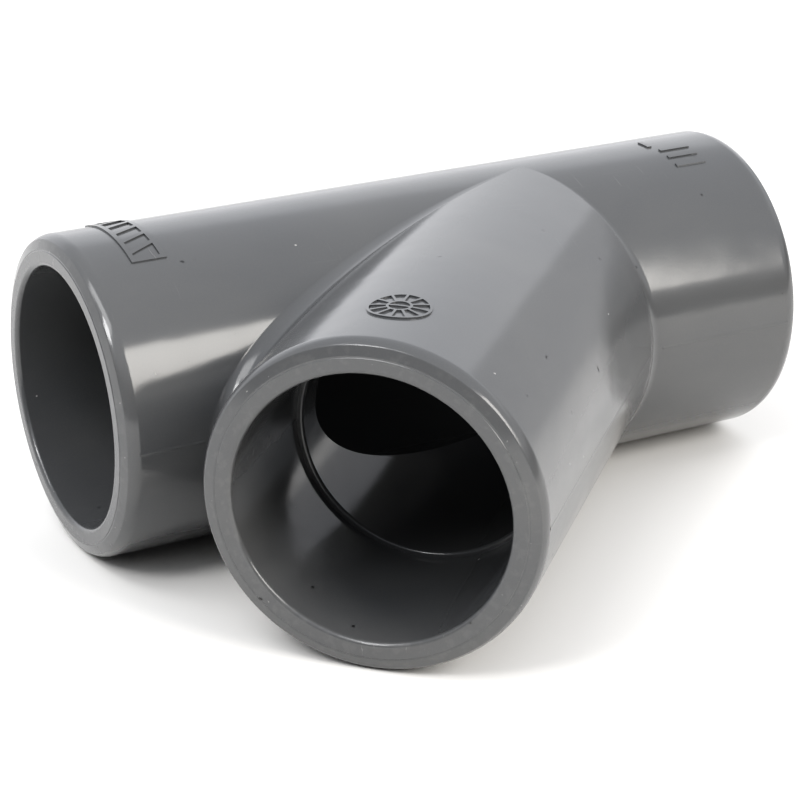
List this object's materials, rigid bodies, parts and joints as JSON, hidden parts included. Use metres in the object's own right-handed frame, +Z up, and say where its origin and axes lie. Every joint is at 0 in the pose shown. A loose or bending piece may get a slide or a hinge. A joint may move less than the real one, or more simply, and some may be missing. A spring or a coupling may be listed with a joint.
{
  "type": "pvc lateral tee fitting",
  "caption": "Rigid PVC lateral tee for irrigation pipe: a straight run with a branch leaving at 45 degrees, and plain solvent-cement sockets on every limb.",
  "frame": {"origin": "crossing of the run's centreline and the branch's centreline", "axes": "+X along the run towards its short limb; the branch leaves towards -X and -Y at 45 degrees to the run; both centrelines lie in the XY plane; +Z up, square to both, with the date dial and the panel on the +Z side"},
  "size_m": [0.095, 0.0795, 0.0402],
  "materials": {
    "pvc": "gloss as moulded"
  },
  "bodies": {
    "root": {"junction_body": "pvc", "socket_run_inlet": "pvc", "socket_run_outlet": "pvc", "socket_branch": "pvc", "maker_panel": "pvc", "size_mark": "pvc", "date_dial": "pvc", "parting_line": "pvc"}
  },
  "joints": []
}
